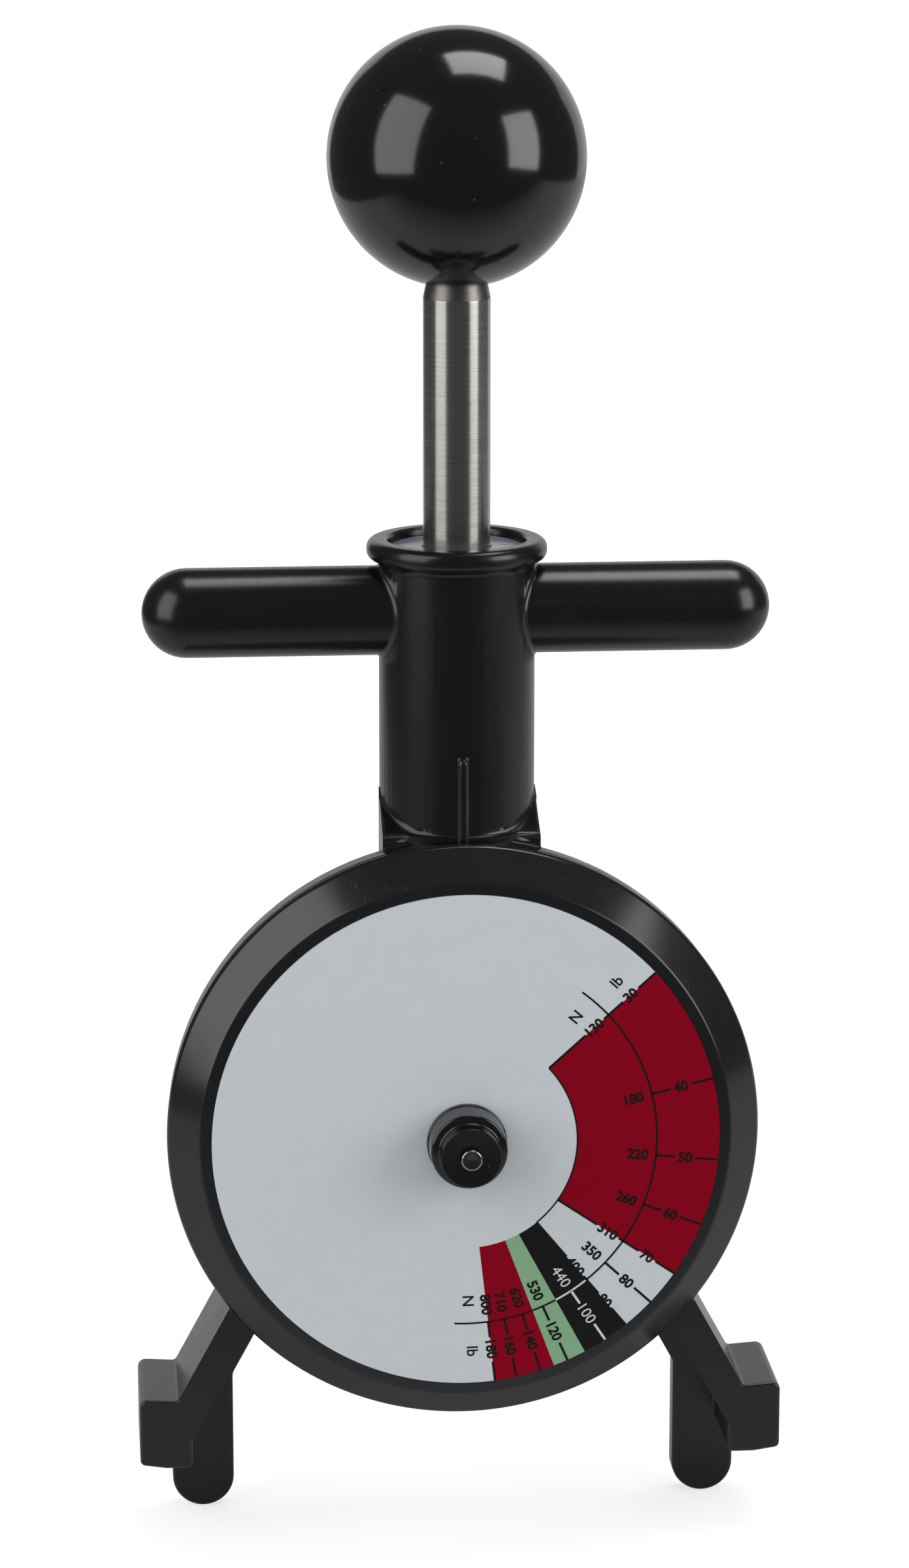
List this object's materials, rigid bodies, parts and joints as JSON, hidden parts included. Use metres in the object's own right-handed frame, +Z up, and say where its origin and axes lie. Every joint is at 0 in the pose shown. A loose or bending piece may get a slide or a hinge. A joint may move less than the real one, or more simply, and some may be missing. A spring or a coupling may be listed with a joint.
{
  "type": "belt tension tester",
  "caption": "Hand belt tension tester: ball-topped spring plunger in a barrel with a finger handle, bevelled rotating dial, splayed feet and a belt hook.",
  "frame": {"origin": "middle of the part's box, at the level of the belt fingers' tips", "axes": "+Z up along the plunger, -Y out of the dial's face, +X to the right of the dial"},
  "size_m": [0.0984, 0.0468, 0.2296],
  "materials": {
    "moulded_black": "semi-gloss moulded black plastic with fine scuffs",
    "dial_black": "satin black plastic with light scratches",
    "bush_black": "dull black plastic",
    "phenolic_black": "polished black phenolic",
    "ground_steel": "ground steel",
    "zinc_steel": "bright zinc plate",
    "spring_steel": "drawn spring wire",
    "bronze": "sintered bronze",
    "brass": "turned brass",
    "bumper_rubber": "black rubber",
    "dial_print": "satin printed label, pale grey with red, green and black zones"
  },
  "bodies": {
    "frame": {"body_frame": "moulded_black", "top_bush": "bush_black", "lower_bush": "bronze", "spring_washer": "zinc_steel", "front_shaft_bush": "bronze", "rear_shaft_bush": "bronze", "rear_cover": "moulded_black", "rear_cover_screws": "zinc_steel", "return_spring": "spring_steel"},
    "plunger": {"ball_knob": "phenolic_black", "knob_insert": "brass", "plunger_rod": "ground_steel", "bumper_washer": "bumper_rubber", "spring_collar": "zinc_steel", "collar_pin": "ground_steel", "crosshead": "zinc_steel", "crosshead_screw": "zinc_steel", "rack_hook": "zinc_steel", "rack_screws": "zinc_steel"},
    "dial": {"dial_cap": "dial_black", "dial_label": "dial_print", "dial_hub": "phenolic_black", "dial_shaft": "ground_steel", "shaft_clip": "spring_steel", "pinion": "brass", "pinion_pin": "ground_steel"}
  },
  "joints": [
    {"name": "plunger_slide", "type": "slide", "parent": "frame", "child": "plunger", "axis": [0, 0, -1], "range_m": [0, 0.028], "stiffness_N_per_m": 4000, "springref_m": -0.005, "deforming": ["return_spring"]},
    {"name": "dial_spin", "type": "hinge", "parent": "frame", "child": "dial", "pos_m": [0, 0, 0.066], "axis": [0, -1, 0], "range_deg": [0, 200.6]}
  ],
  "couplings": [
    {"joint": "dial_spin", "follows": "plunger_slide", "rad_per_m": 125}
  ]
}
